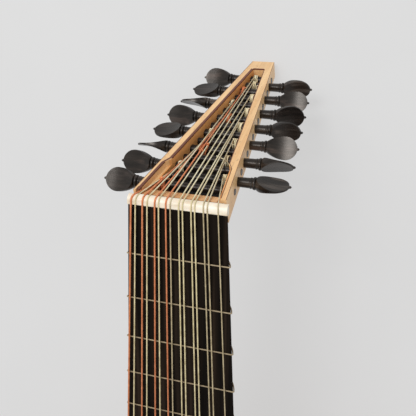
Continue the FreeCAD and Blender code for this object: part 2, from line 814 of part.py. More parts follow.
def peg(node, number, roll):
    """A turned peg: tapered shaft, bead, collar and a heart-shaped head hollowed to a wedge on both faces."""
    body = new_body(node)
    far = -(2 * half_width(peg_along(number)) + size("peg_proud"))
    bead, collar, neck, wide = REACH - 27.6, REACH - 25.4, REACH - 22.9, REACH - 9.8
    tip = REACH - 1.5
    revolve(body, [
        (far, 0),
        (far, shaft_radius(far)),
        (bead, shaft_radius(bead), 1, RIGHT),
        (bead + 1.5, shaft_radius(bead)),
        (collar, shaft_radius(collar) * 0.94),
        (collar, 3.9, 1.25, RIGHT),
        (collar + 1.9, 3.9),
        (collar + 2, 3.3),
        (neck, 4.4, 22, RIGHT),
        (wide, 8.3, 9, RIGHT),
        (tip - 0.2, 1.5),
        (tip, 0.95, 1.5, RIGHT),
        (REACH, 0.3),
        (REACH, 0),
    ])
    hollow = [(neck, 4.4, 40, LEFT), (REACH + 1, 1.2), (REACH + 1, 12), (neck, 12)]
    mirrored = [(neck, -4.4), (neck, -12), (REACH + 1, -12), (REACH + 1, -1.2, 40, LEFT)]
    pocket(body, [hollow, mirrored], "XZ_Plane")
    return keep(node, body, peg_frame(number, roll))


for number in range(PEGS):
    if peg_side(number) == BASS:
        peg(f"bass_peg_{number // 2 + 1}", number, BASS_ROLLS[number // 2])
    else:
        peg(f"treble_peg_{number // 2 + 1}", number, TREBLE_ROLLS[number // 2])

# ---------------------------------------------------------------- strings


def string_route(nut_x, bridge_x, peg_number, winding_x, thickness):
    """Where a string runs: the bridge, the corner it would make over the nut, the point where it touches its
    winding, and the radius of its bend over the nut."""
    round_y = length("nut_depth") - length("nut_round")
    bend = length("nut_round") + length("string_rise") - length("nut_height")
    top = length("nut_height") - length("nut_round") + bend
    side = peg_side(peg_number)
    outside_cheek = side * half_width(peg_along(peg_number)).value
    shaft = shaft_radius(Size(side * winding_x - side * outside_cheek)).value
    wrap = shaft + WINDING_GAP + thickness / 2
    axis = PEGBOX.multVec(Vector(winding_x, peg_along(peg_number).value, -peg_depth(peg_number).value))
    corner_y = round_y + bend
    for _ in range(12):
        to_axis = Vector(0, axis.y - corner_y, axis.z - top)
        swing = math.asin(wrap / to_axis.Length)
        heading = math.atan2(to_axis.z, to_axis.y) + swing
        corner_y = round_y + bend * math.tan(-heading / 2)
    reach = math.sqrt(to_axis.Length**2 - wrap**2)
    touch = Vector(winding_x, corner_y + reach * math.cos(heading), top + reach * math.sin(heading))
    bridge_point = Vector(bridge_x, BRIDGE_CLEARANCE - length("string_length"), length("bridge_rise"))
    corner = Vector(nut_x, corner_y, top)
    return bridge_point, corner, touch, bend, axis, shaft


def rounded_wire(start, corner, end, radius):
    """Two straight runs joined by an arc that touches both."""
    first, second = (start - corner).normalize(), (end - corner).normalize()
    half_turn = (math.pi - first.getAngle(second)) / 2
    cut = radius * math.tan(half_turn)
    bisector = (first + second).normalize()
    centre = corner + bisector * (radius / math.cos(half_turn))
    entry, leave = corner + first * cut, corner + second * cut
    arc = Part.Arc(entry, centre - bisector * radius, leave).toShape()
    return Part.Wire([Part.LineSegment(start, entry).toShape(), arc, Part.LineSegment(leave, end).toShape()])


def round_sweep(wire, start, towards, radius):
    """A round cord along a wire."""
    section = Part.Wire([Part.Circle(start, towards - start, radius).toShape()])
    return wire.makePipeShell([section], True, True)


grooves = []
for course, thickness, nut_x, bridge_x, peg_number, winding_x in STRINGS:
    start, corner, end, bend, axis, shaft = string_route(nut_x, bridge_x, peg_number, winding_x, thickness)
    cord = round_sweep(rounded_wire(start, corner, end, bend), start, corner, thickness / 2)
    inner = shaft + WINDING_GAP
    coil_length = WINDING_TURNS * thickness
    coil_start = Vector(winding_x - coil_length / 2, axis.y, axis.z)
    outer_coil = Part.makeCylinder(inner + thickness, coil_length, coil_start, Vector(1, 0, 0))
    coil = outer_coil.cut(Part.makeCylinder(inner + 0.05, coil_length, coil_start, Vector(1, 0, 0)))
    cord_object = doc.addObject("Part::Feature", f"string_{course}")
    cord_object.Shape = cord.fuse(coil)
    keep(f"string_{course}", cord_object)
    slack = 0.03
    groove_start = corner + (start - corner).normalize() * 12
    groove_end = corner + (end - corner).normalize() * 12
    groove = doc.addObject("Part::Feature", f"groove_{course}")
    groove.Shape = round_sweep(
        rounded_wire(groove_start, corner, groove_end, bend), groove_start, corner, thickness / 2 + slack)
    grooves.append(groove)
grooved_nut = boolean("Cut", "grooved_nut", nut, compound("string_grooves", grooves))
doc.recompute()

# Cutting the grooves also leaves empty shells at the nut's back edge, so only its solid is kept.
nut_solid = doc.addObject("Part::Feature", "nut")
nut_solid.Shape = max(grooved_nut.Shape.Solids, key=lambda solid: solid.Volume)
keep("nut", nut_solid)

# ---------------------------------------------------------------- laid to rest, checked and written

# The instrument tips about the x axis until its bowl and the back edge of the pegbox's end stand level.
flank_centre = Vector(0, -JOINT.value - FLANK_X.value, AXIS.value - FLANK_R.value)
heel = PEGBOX.multVec(Vector(0, RIM.value, -DEEP_END.value))
span = heel - flank_centre
tilt = math.degrees(-math.atan2(span.z, span.y) - math.asin(FLANK.value / span.Length))
TIPPED = Placement(Vector(), Rotation(Vector(1, 0, 0), tilt))

for item in parts.values():
    item.Placement = TIPPED.multiply(item.Placement)
boxes = {node: item.Shape.optimalBoundingBox(True, False) for node, item in parts.items()}
middle_y = (min(b.YMin for b in boxes.values()) + max(b.YMax for b in boxes.values())) / 2
ground = min(b.ZMin for b in boxes.values())
SHIFT = Placement(Vector(0, -middle_y, -ground), Rotation())
for item in parts.values():
    item.Placement = SHIFT.multiply(item.Placement)
REST = SHIFT.multiply(TIPPED)

failed = [item.Name for item in doc.Objects if {"Invalid", "Error"} & set(item.State)]
if failed:
    raise RuntimeError(f"features that failed: {failed}")
for node, item in parts.items():
    if item.Shape.isNull() or not item.Shape.isValid() or not item.Shape.Solids:
        raise RuntimeError(f"{node} has no valid solid")

os.makedirs("parts", exist_ok=True)
for node, item in parts.items():
    item.Shape.exportStep(f"parts/{node}.step")
print(f"{len(parts)} parts, tipped by {tilt:.3f} degrees, moved by {SHIFT.Base}")
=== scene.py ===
import json
import math
import random

import bpy
from mathutils import Matrix, Vector


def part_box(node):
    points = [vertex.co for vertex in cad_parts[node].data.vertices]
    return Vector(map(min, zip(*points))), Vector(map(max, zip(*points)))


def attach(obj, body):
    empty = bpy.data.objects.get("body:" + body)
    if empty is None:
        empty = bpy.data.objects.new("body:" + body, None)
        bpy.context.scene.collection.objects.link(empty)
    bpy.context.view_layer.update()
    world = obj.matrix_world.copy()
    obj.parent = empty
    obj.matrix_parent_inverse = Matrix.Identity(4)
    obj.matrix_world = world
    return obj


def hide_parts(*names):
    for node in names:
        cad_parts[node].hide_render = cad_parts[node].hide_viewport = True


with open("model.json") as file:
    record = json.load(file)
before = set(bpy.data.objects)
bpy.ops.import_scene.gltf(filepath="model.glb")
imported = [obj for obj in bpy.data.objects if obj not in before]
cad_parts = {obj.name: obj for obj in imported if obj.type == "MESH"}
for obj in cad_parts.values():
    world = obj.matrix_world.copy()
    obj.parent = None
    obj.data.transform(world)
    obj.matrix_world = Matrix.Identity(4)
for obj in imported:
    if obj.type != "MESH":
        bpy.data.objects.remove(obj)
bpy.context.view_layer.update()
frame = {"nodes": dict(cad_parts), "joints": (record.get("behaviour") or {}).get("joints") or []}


MM = 0.001
PEGS = 15
ROOT = "lute"

# ---------------------------------------------------------------- the lute's own frames

# The lute frame: origin at the middle of the nut's front edge on the fingerboard, x to the treble side,
# y along the neck towards the head, z out of the soundboard. The pegbox frame: y along its rim, z out of it.
BOARD_DEPTH = 2.5 * MM
PEGBOX_BEND = math.radians(71.8)
PEGBOX_START = Vector((0, 8.25, -1.58)) * MM
RIM_START = 1.8 * MM
RIM = 204.3 * MM
HALF_START = 31.24 * MM
HALF_END = 9.6 * MM
CHEEK = 6.4 * MM
INNER_FACE = 5.6 * MM
END_BLOCK = RIM - 15.3 * MM
EDGE_CLEAR = 0.5 * MM
PEG_FIRST = 24 * MM
PEG_PITCH = 11.41 * MM
PEG_DEPTH = 9.9 * MM
PEG_RISE = 2.31 * MM
PEG_RADIUS = 3.3 * MM
PEG_TAPER = 0.02
STRING_LENGTH = 600 * MM

joints = {joint["name"]: joint for joint in frame["joints"]}
neck_way = Vector(joints["fret_1_slide"]["axis"])
TILT = math.atan2(neck_way.z, neck_way.y)
board_low, board_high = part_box("fingerboard")
origin = Vector((0, board_high.y - BOARD_DEPTH * math.sin(TILT), board_high.z))
LUTE = Matrix.Translation(origin) @ Matrix.Rotation(TILT, 4, "X")
PEGBOX = Matrix.Translation(PEGBOX_START) @ Matrix.Rotation(-PEGBOX_BEND, 4, "X")


def half_width(along):
    return HALF_START + (HALF_END - HALF_START) * along / RIM


def peg_along(number):
    return PEG_FIRST + PEG_PITCH * number


def peg_depth(number):
    return PEG_DEPTH - PEG_RISE * peg_along(number) / RIM


def peg_side(number):
    return -1 if number % 2 == 0 else 1


def peg_name(number):
    return f"{'bass' if peg_side(number) < 0 else 'treble'}_peg_{number // 2 + 1}"


def shaft_radius(number, x):
    """Radius of a peg's tapered shaft at a place across the pegbox."""
    side = peg_side(number)
    return PEG_RADIUS + PEG_TAPER * side * (x - side * half_width(peg_along(number)))


def peg_point(number, x):
    """A point on a peg's axis, in the lute frame."""
    return PEGBOX @ Vector((x, peg_along(number), -peg_depth(number)))


# ---------------------------------------------------------------- materials


class Shader:
    """A node material under construction."""

    def __init__(self, name):
        self.material = bpy.data.materials.new(name)
        self.material.use_nodes = True
        self.tree = self.material.node_tree
        self.surface = self.tree.nodes["Principled BSDF"]

    def add(self, kind, inputs=None, **settings):
        node = self.tree.nodes.new("ShaderNode" + kind)
        for key, value in settings.items():
            setattr(node, key, value)
        for key, value in (inputs or {}).items():
            self.feed(node.inputs[key], value)
        return node

    def feed(self, socket, value):
        if isinstance(value, bpy.types.NodeSocket):
            self.tree.links.new(value, socket)
        elif isinstance(value, tuple) and len(value) == 3 and socket.type == "RGBA":
            socket.default_value = (*value, 1)
        else:
            socket.default_value = value

    def set(self, **values):
        for key, value in values.items():
            self.feed(self.surface.inputs[key.replace("_", " ")], value)

    def place(self, turn, stretch):
        """Object coordinates in metres, turned so that y runs with the grain, then stretched."""
        coordinates = self.add("TexCoord").outputs["Object"]
        turned = self.add("Mapping", {0: coordinates, 2: (turn, 0, 0)}).outputs[0]
        return self.add("Mapping", {0: turned, 3: stretch}).outputs[0]

    def noise(self, where, scale, detail=3.0, rough=0.5):
        inputs = {"Vector": where, "Scale": scale, "Detail": detail, "Roughness": rough}
        return self.add("TexNoise", inputs).outputs[0]

    def ramp(self, fac, *stops):
        node = self.add("ValToRGB", {0: fac})
        band = node.color_ramp
        while len(band.elements) < len(stops):
            band.elements.new(0.5)
        for element, (position, colour) in zip(band.elements, stops):
            element.position = position
            if not isinstance(colour, tuple):
                colour = (colour, colour, colour)
            element.color = (*colour, 1)
        return node.outputs[0]

    def mix(self, fac, first, second, blend="MIX"):
        node = self.add("Mix", data_type="RGBA", blend_type=blend)
        self.feed(node.inputs[0], fac)
        self.feed(node.inputs[6], first)
        self.feed(node.inputs[7], second)
        return node.outputs[2]

    def span(self, fac, low, high):
        return self.add("MapRange", {0: fac, 3: low, 4: high}).outputs[0]

    def math(self, operation, first, second=0.0):
        return self.add("Math", {0: first, 1: second}, operation=operation).outputs[0]

    def painted_inner_shade(self):
        """1 on the cheeks' inner faces, which get painted shade, a darker and warmer tint, and 0 on their rim
        and outside.
        """
        place = PEGBOX.inverted() @ LUTE.inverted()
        coordinates = self.add("TexCoord").outputs["Object"]
        local = self.add("Mapping", {0: coordinates, 1: place.translation, 2: place.to_euler()}).outputs[0]
        parts = self.add("SeparateXYZ", {0: local}).outputs
        across = self.math("ABSOLUTE", parts[0])
        taper = (HALF_START - HALF_END) / RIM
        reach = self.math("ADD", across, self.math("MULTIPLY", parts[1], taper))
        inner = self.math("LESS_THAN", reach, HALF_START - INNER_FACE)
        below = self.math("LESS_THAN", parts[2], -EDGE_CLEAR)
        before_end = self.math("LESS_THAN", parts[1], END_BLOCK - EDGE_CLEAR)
        return self.math("MULTIPLY", self.math("MULTIPLY", inner, below), before_end)

    def painted_light_past_nut(self):
        """0 along the board and 1 beyond the nut, where the strings get a paler tone as painted light."""
        coordinates = self.add("TexCoord").outputs["Object"]
        place = LUTE.inverted()
        local = self.add("Mapping", {0: coordinates, 1: place.translation, 2: place.to_euler()}).outputs[0]
        along = self.add("SeparateXYZ", {0: local}).outputs[1]
        return self.add("MapRange", {0: along, 1: 2 * MM, 2: 14 * MM}).outputs[0]

    def bump(self, height, distance, strength=1.0):
        inputs = {"Height": height, "Distance": distance, "Strength": strength}
        self.set(Normal=self.add("Bump", inputs).outputs[0])


def srgb(*values):
    return tuple(((v / 255 + 0.055) / 1.055) ** 2.4 if v > 10 else v / 255 / 12.92 for v in values)


# Painted shade: this tint is multiplied onto the cheeks' inner faces.
INNER_SHADE_TINT = srgb(255, 226, 192)


def wood(name, dark, light, turn, fibre=900, fleck=0.25, figure=0.0, rough=(0.38, 0.52), island=0.0,
         shade_inner_faces=False):
    """Straight-grained wood: broad tone, year lines, fibres, short dark flecks, and curl across the grain."""
    s = Shader(name)
    broad = s.noise(s.place(turn, (1, 0.12, 1)), 60, 2)
    rings = s.noise(s.place(turn, (1, 0.03, 1)), 260, 3, 0.6)
    fibres = s.noise(s.place(turn, (1, 0.02, 1)), fibre, 4, 0.65)
    flecks = s.noise(s.place(turn, (1, 0.26, 1)), fibre * 1.1, 1)
    fac = s.math("ADD", s.math("MULTIPLY", broad, 0.5), s.math("MULTIPLY", rings, 0.5))
    colour = s.ramp(fac, (0.3, dark), (0.52, tuple((a + b) / 2 for a, b in zip(dark, light))), (0.7, light))
    fine = s.ramp(fibres, (0.3, 0.82), (0.6, 1.0))
    colour = s.mix(0.8, colour, fine, "MULTIPLY")
    marks = s.ramp(flecks, (0.27, 1 - fleck), (0.36, 1.0))
    colour = s.mix(1.0, colour, marks, "MULTIPLY")
    if figure:
        curl = s.noise(s.place(turn, (0.22, 1, 0.22)), 170, 2, 0.4)
        colour = s.mix(1.0, colour, s.ramp(curl, (0.35, 1 - figure), (0.62, 1.0)), "MULTIPLY")
    if island:
        shade = s.add("NewGeometry").outputs["Random Per Island"]
        colour = s.mix(1.0, colour, s.ramp(shade, (0.0, 1 - island), (1.0, 1.0)), "MULTIPLY")
    # Painted shade: the cheeks' inner faces are tinted darker and warmer.
    if shade_inner_faces:
        colour = s.mix(s.painted_inner_shade(), colour, INNER_SHADE_TINT, "MULTIPLY")
    s.set(Base_Color=colour, Roughness=s.span(fibres, *rough), Coat_Weight=0.15, Coat_Roughness=0.3)
    s.bump(fibres, 0.00004, 0.6)
    return s.material


PALE, HONEY = srgb(222, 170, 112), srgb(250, 212, 158)
# The pegbox maple carries painted shade on its cheeks' inner faces.
pegbox_maple = wood("pegbox_maple", PALE, HONEY, PEGBOX_BEND - TILT, fleck=0.24, figure=0.06,
                    shade_inner_faces=True)
block_maple = wood("block_maple", srgb(206, 148, 92), srgb(240, 190, 134), PEGBOX_BEND - TILT, fleck=0.14)
bowl_maple = wood("bowl_maple", srgb(172, 112, 58), srgb(216, 160, 98), -TILT, fleck=0.1, figure=0.3,
                  rough=(0.24, 0.34), island=0.22)
neck_wood = wood("neck_wood", srgb(104, 68, 42), srgb(146, 100, 64), -TILT, fleck=0.3, rough=(0.3, 0.42))
back_wood = wood("pegbox_back", srgb(20, 15, 12), srgb(38, 28, 22), PEGBOX_BEND - TILT, rough=(0.5, 0.7))
inner_wood = wood("inner_wood", srgb(196, 160, 112), srgb(232, 204, 158), -TILT, rough=(0.6, 0.8))
bridge_wood = wood("bridge_wood", srgb(62, 36, 24), srgb(104, 64, 42), math.pi / 2, fleck=0.3)
ebony = wood("ebony", srgb(24, 21, 20), srgb(52, 46, 42), -TILT, fibre=1300, fleck=0.4, rough=(0.3, 0.42))


def peg_ebony(name, light, turn):
    """Ebony turned along x: its grain runs with the peg."""
    s = Shader(name)
    coordinates = s.add("TexCoord").outputs["Object"]
    where = s.add("Mapping", {0: coordinates, 2: (turn, 0, 0), 3: (0.05, 1, 1)}).outputs[0]
    fibres = s.noise(where, 900, 4, 0.65)
    streaks = s.noise(where, 260, 2, 0.5)
    colour = s.ramp(streaks, (0.35, srgb(18, 15, 14)), (0.55, srgb(34, 29, 26)), (0.75, light))
    colour = s.mix(0.7, colour, s.ramp(fibres, (0.3, 0.6), (0.62, 1.0)), "MULTIPLY")
    s.set(Base_Color=colour, Roughness=s.span(fibres, 0.22, 0.33), Specular_IOR_Level=0.38,
          Specular_Tint=(1.0, 0.92, 0.85))
    s.bump(fibres, 0.00004, 0.5)
    return s.material


peg_woods = [peg_ebony(f"peg_ebony_{k}", light, k * 0.7) for k, light in enumerate(
    (srgb(58, 50, 46), srgb(84, 76, 70), srgb(70, 58, 52)))]


def fingerboard_wood():
    s = Shader("fingerboard")
    fibres = s.noise(s.place(-TILT, (1, 0.012, 1)), 700, 4, 0.6)
    bands = s.noise(s.place(-TILT, (1, 0.02, 1)), 160, 3, 0.6)
    colour = s.ramp(bands, (0.36, srgb(12, 8, 5)), (0.52, srgb(26, 19, 13)), (0.7, srgb(52, 41, 32)))
    colour = s.mix(0.8, colour, s.ramp(fibres, (0.32, 0.62), (0.6, 1.0)), "MULTIPLY")
    s.set(Base_Color=colour, Roughness=s.span(fibres, 0.5, 0.66), Specular_IOR_Level=0.06)
    s.bump(fibres, 0.00005, 0.6)
    return s.material


def spruce_wood():
    """Spruce with straight year lines about 2.7 mm apart."""
    s = Shader("spruce")
    where = s.place(-TILT, (1, 0.02, 1))
    drift = s.noise(s.place(-TILT, (1, 0.15, 1)), 25, 2)
    inputs = {"Vector": where, "Scale": 115, "Distortion": 2.2, "Detail": 2, "Detail Scale": 1.5,
              "Phase Offset": drift}
    lines = s.add("TexWave", inputs, bands_direction="X").outputs[0]
    fibres = s.noise(where, 1400, 4, 0.65)
    colour = s.ramp(lines, (0.12, srgb(198, 150, 92)), (0.4, srgb(226, 188, 132)), (0.8, srgb(234, 200, 148)))
    colour = s.mix(0.6, colour, s.ramp(fibres, (0.3, 0.84), (0.62, 1.0)), "MULTIPLY")
    s.set(Base_Color=colour, Roughness=s.span(fibres, 0.42, 0.58))
    s.bump(s.math("ADD", s.math("MULTIPLY", lines, 0.6), fibres), 0.00005, 0.6)
    return s.material


def bone():
    s = Shader("bone")
    clouds = s.noise(s.place(0, (0.5, 1, 1)), 140, 4, 0.6)
    pores = s.noise(s.place(0, (0.12, 1, 1)), 1500, 2)
    colour = s.ramp(clouds, (0.3, srgb(204, 186, 158)), (0.5, srgb(226, 213, 192)),
                    (0.7, srgb(238, 229, 212)))
    colour = s.mix(0.5, colour, s.ramp(pores, (0.28, 0.86), (0.42, 1.0)), "MULTIPLY")
    s.set(Base_Color=colour, Roughness=s.span(clouds, 0.3, 0.42), Subsurface_Weight=0.08,
          Subsurface_Radius=(0.002, 0.0012, 0.0008))
    s.bump(pores, 0.00002, 0.4)
    return s.material


# Paler gut tones used beyond the nut: painted light.
LIT_GUT_TONES = srgb(222, 208, 166), srgb(242, 234, 202)


def gut(name, dark, light, rough=0.42):
    """Twisted gut: fine slanting lines, slow changes of tone, and painted light: a paler tone beyond the nut
    than along the board.
    """
    s = Shader(name)
    along = s.add("Attribute", attribute_name="along").outputs["Fac"]
    around = s.add("Attribute", attribute_name="around").outputs["Fac"]
    turns = s.math("ADD", s.math("MULTIPLY", along, 5200.0), s.math("MULTIPLY", around, 18.85))
    twist = s.math("SINE", turns)
    slow = s.noise(s.place(0, (1, 1, 1)), 220, 2)
    lit_gut_dark, lit_gut_light = LIT_GUT_TONES
    # Painted light: the gut turns paler beyond the nut.
    colour = s.mix(s.painted_light_past_nut(), s.ramp(slow, (0.35, dark), (0.65, light)),
                   s.ramp(slow, (0.35, lit_gut_dark), (0.65, lit_gut_light)))
    colour = s.mix(0.5, colour, s.ramp(s.span(twist, 0.0, 1.0), (0.0, 0.86), (0.7, 1.0)), "MULTIPLY")
    s.set(Base_Color=colour, Roughness=rough, Specular_IOR_Level=0.5)
    s.bump(twist, 0.00002, 0.5)
    return s.material


def copper_wound():
    """Close copper winding: one turn each 0.3 mm, slightly tarnished."""
    s = Shader("copper_wound")
    along = s.add("Attribute", attribute_name="along").outputs["Fac"]
    turns = s.math("ABSOLUTE", s.math("SINE", s.math("MULTIPLY", along, math.pi / 0.0003)))
    tarnish = s.noise(s.place(0, (1, 1, 1)), 300, 3)
    # Painted light: the copper turns brighter beyond the nut.
    colour = s.mix(s.painted_light_past_nut(), s.ramp(tarnish, (0.3, srgb(196, 116, 72)), (0.7, srgb(224, 142, 96))),
                   s.ramp(tarnish, (0.3, srgb(224, 132, 84)), (0.7, srgb(248, 162, 112))))
    colour = s.mix(0.6, colour, s.ramp(turns, (0.0, 0.6), (0.5, 1.0)), "MULTIPLY")
    s.set(Base_Color=colour, Metallic=0.35, Roughness=s.span(tarnish, 0.34, 0.5))
    s.bump(turns, 0.00006, 0.8)
    return s.material


def steel():
    s = Shader("steel")
    brushed = s.noise(s.place(-TILT, (1, 30, 1)), 120, 3)
    s.set(Base_Color=s.ramp(brushed, (0.3, srgb(150, 150, 152)), (0.7, srgb(184, 184, 186))), Metallic=1.0,
          Roughness=s.span(brushed, 0.28, 0.42))
    return s.material


fingerboard = fingerboard_wood()
spruce = spruce_wood()
bone_white = bone()
gut_cream = gut("gut_cream", srgb(192, 176, 132), srgb(222, 208, 164))
gut_tan = gut("gut_tan", srgb(160, 144, 110), srgb(192, 176, 140))
gut_fret = gut("gut_fret", srgb(138, 120, 92), srgb(168, 150, 118), 0.5)
copper = copper_wound()
line_wood = wood("line_wood", srgb(86, 42, 26), srgb(122, 66, 42), PEGBOX_BEND - TILT, rough=(0.5, 0.7))

NODE_MATERIALS = {
    "bowl_ribs": bowl_maple, "end_clasp": bowl_maple, "neck_screw": steel(), "neck_block": inner_wood,
    "soundboard": spruce, "rose": spruce, "soundboard_bars": inner_wood, "bridge": bridge_wood,
    "body_frets": ebony, "strap_button": ebony, "end_lining": inner_wood, "fingerboard": fingerboard,
    "neck": neck_wood, "pegbox_bass_cheek": pegbox_maple, "pegbox_treble_cheek": pegbox_maple,
    "pegbox_neck_block": block_maple, "pegbox_end_block": pegbox_maple, "pegbox_back": back_wood,
    "nut": bone_white,
}
for number in range(PEGS):
    NODE_MATERIALS[peg_name(number)] = peg_woods[number % 3]
for node, finish in NODE_MATERIALS.items():
    data = frame["nodes"][node].data
    data.materials.clear()
    data.materials.append(finish)

# ---------------------------------------------------------------- tubes, strings, windings, frets


def tube(name, points, radius, material, body, sides, closed=False):
    """A round cord through points in the lute frame, with its length and its turn kept as attributes."""
    points = [Vector(p) for p in points]
    count = len(points)
    ways = []
    for i in range(count):
        before = points[i - 1] if closed or i else points[0]
        after = points[(i + 1) % count] if closed or i < count - 1 else points[-1]
        ways.append((after - before).normalized())
    side = ways[0].orthogonal().normalized()
    verts, along, around, travelled = [], [], [], 0.0
    for i, (point, way) in enumerate(zip(points, ways)):
        side = (side - way * side.dot(way)).normalized()
        over = way.cross(side)
        travelled += (point - points[i - 1]).length if i else 0
        for k in range(sides):
            angle = math.tau * k / sides
            verts.append(point + (side * math.cos(angle) + over * math.sin(angle)) * radius)
            along.append(travelled)
            around.append(k / sides)
    faces = []
    for i in range(count if closed else count - 1):
        a, b = i * sides, (i + 1) % count * sides
        for k in range(sides):
            j = (k + 1) % sides
            faces.append((a + k, a + j, b + j, b + k))
    if not closed:
        faces.append(tuple(range(sides))[::-1])
        faces.append(tuple(range((count - 1) * sides, count * sides)))
    mesh = bpy.data.meshes.new(name)
    mesh.from_pydata([LUTE @ v for v in verts], [], faces)
    for label, values in (("along", along), ("around", around)):
        mesh.attributes.new(label, "FLOAT", "POINT").data.foreach_set("value", values)
    mesh.materials.append(material)
    for polygon in mesh.polygons:
        polygon.use_smooth = len(polygon.vertices) == 4
    piece = bpy.data.objects.new(name, mesh)
    bpy.context.scene.collection.objects.link(piece)
    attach(piece, body)
    return piece


def smooth(points, steps):
    """A Catmull-Rom line through the points."""
    padded = [points[0] * 2 - points[1], *points, points[-1] * 2 - points[-2]]
    line = []
    for a, b, c, d in zip(padded, padded[1:], padded[2:], padded[3:]):
        for k in range(steps):
            t = k / steps
            line.append(0.5 * ((2 * b) + (c - a) * t + (2 * a - 5 * b + 4 * c - d) * t * t
                               + (3 * b - a - 3 * c + d) * t * t * t))
    return [*line, points[-1]]


NUT_DEPTH = 6.6 * MM
NUT_ROUND = 4 * MM
NUT_HEIGHT = 1.4 * MM
STRING_RISE = 1.6 * MM
BRIDGE_RISE = 7 * MM
WINDING_GAP = 0.1 * MM
STEPS_PER_TURN = 22
ARC_STEPS = 14


def string_route(nut_x, bridge_x, number, winding_x, thickness):
    """A string's line from bridge to nut, bent over the nut, and down to where it meets its winding."""
    bend = NUT_ROUND + STRING_RISE - NUT_HEIGHT
    top = NUT_HEIGHT - NUT_ROUND + bend
    wrap = shaft_radius(number, winding_x) + WINDING_GAP + thickness / 2
    axis = peg_point(number, winding_x)
    corner_y = NUT_DEPTH - NUT_ROUND + bend
    for _ in range(12):
        drop, run = axis.z - top, axis.y - corner_y
        swing = math.asin(wrap / math.hypot(drop, run))
        heading = math.atan2(drop, run) + swing
        corner_y = NUT_DEPTH - NUT_ROUND + bend * math.tan(-heading / 2)
    reach = math.sqrt(drop ** 2 + run ** 2 - wrap ** 2)
    touch = Vector((winding_x, corner_y + reach * math.cos(heading), top + reach * math.sin(heading)))
    start = Vector((bridge_x, -STRING_LENGTH, BRIDGE_RISE))
    corner = Vector((nut_x, corner_y, top))
    first, second = (start - corner).normalized(), (touch - corner).normalized()
    half_turn = (math.pi - first.angle(second)) / 2
    cut = bend * math.tan(half_turn)
    middle = (first + second).normalized()
    centre = corner + middle * (bend / math.cos(half_turn))
    entry, leave = corner + first * cut - centre, corner + second * cut - centre
    entry, leave = entry.normalized(), leave.normalized()
    arc = [centre + entry.slerp(leave, k / ARC_STEPS) * bend for k in range(ARC_STEPS + 1)]
    return [start, *arc, touch], axis


def winding(number, axis, touch, thickness, turns, lean, tail, seed):
    """Turns of a string round its peg from the point where it arrives, then its loose tail."""
    dice = random.Random(seed)
    rim_out = (PEGBOX.to_3x3() @ Vector((0, 0, 1))).normalized()
    arrive = touch - axis
    arrive.x = 0
    radius = arrive.length
    up = arrive.normalized()
    across = Vector((1, 0, 0)).cross(up)
    points = []
    for k in range(int(turns * STEPS_PER_TURN) + 1):
        angle = -math.tau * k / STEPS_PER_TURN
        pace = k / STEPS_PER_TURN
        swell = 0.25 * thickness * math.sin(pace * 2.1 + seed) ** 2
        shift = lean * thickness * (1.06 * pace - 0.5) + 0.3 * thickness * math.sin(pace * 5 + seed)
        spoke = up * math.cos(angle) + across * math.sin(angle)
        points.append(axis + Vector((shift if k else 0, 0, 0)) + spoke * (radius + swell))
    way = (points[-1] - points[-2]).normalized()
    spine = [points[-1]]
    here = points[-1]
    for forward, out, sideways in tail:
        here = here + (way * forward + rim_out * out + Vector((sideways, 0, 0))) * MM
        here = here + Vector([dice.uniform(-0.5, 0.5) * MM for _ in range(3)])
        spine.append(here)
    return points[:-1] + smooth(spine, 6)


# Each string: its node, diameter, place across the nut, place across the bridge, its peg and the place of its
# winding, in millimetres, then the winding's turns, the side it grows to, and its loose tail.
HOOK = [(0.4, 2.2, 0.3), (1.2, 1.9, 0.9), (-0.9, 1.2, 1.0), (-1.6, -0.6, 0.5)]
CURL = [(0.3, 2.4, 0.8), (1.8, 2.2, 1.4), (2.0, -0.2, 1.0), (0.2, -2.2, -0.4), (-2.0, -1.2, -1.4),
        (-1.6, 1.4, -0.6)]
SPRIG = [(-0.5, 1.8, -0.3), (-1.3, 1.8, -0.8), (-1.2, 0.9, -0.5)]
STUB = [(0.8, 0.7, 0.2), (0.9, 0.5, 0.3), (0.7, 0.2, 0.2)]
CROSSING = [(0.2, 1.6, -0.6), (0.9, 1.2, -2.0), (1.4, 0.4, -2.6), (1.6, -0.1, -2.4)]
STRINGS = [
    ("8_a", 1.25, -30.2, -61.0, 0, -18.0, 3.75, -1, CURL),
    ("8_b", 0.95, -27.2, -53.3, 2, -13.8, 3.75, -1, HOOK),
    ("7_a", 1.2, -22.4, -43.0, 4, -10.6, 3.75, 1, CURL),
    ("7_b", 0.95, -19.2, -37.5, 6, -7.6, 3.75, -1, HOOK),
    ("6_a", 1.15, -14.1, -27.0, 8, -5.5, 3.75, 1, SPRIG),
    ("6_b", 0.95, -11.5, -20.3, 10, -7.1, 2.75, -1, STUB),
    ("5_a", 1.1, -6.7, -10.0, 12, -4.3, 2.75, -1, STUB),
    ("5_b", 0.9, -3.75, -5.0, 14, -2.3, 3.75, 1, STUB),
    ("4_a", 0.95, 1.84, 5.6, 13, -0.4, 3.75, 1, STUB),
    ("4_b", 0.95, 4.35, 10.3, 11, 3.9, 3.75, 1, HOOK),
    ("3_a", 0.95, 9.95, 20.9, 9, 6.3, 3.75, 1, SPRIG),
    ("3_b", 0.95, 12.3, 26.0, 7, 7.5, 3.75, 1, SPRIG),
    ("2_a", 0.9, 17.9, 38.8, 5, 10.5, 3.75, 1, SPRIG),
    ("2_b", 0.9, 20.5, 42.4, 3, 12.7, 2.75, 1, CROSSING),
    ("1", 0.8, 27.4, 55.0, 1, 17.6, 4.75, 1, SPRIG),
]
WOUND = ("8_a", "7_a", "6_a", "5_a")
TAN = ("5_b", "2_a", "2_b", "1")
WRAP_SHARE = 0.97
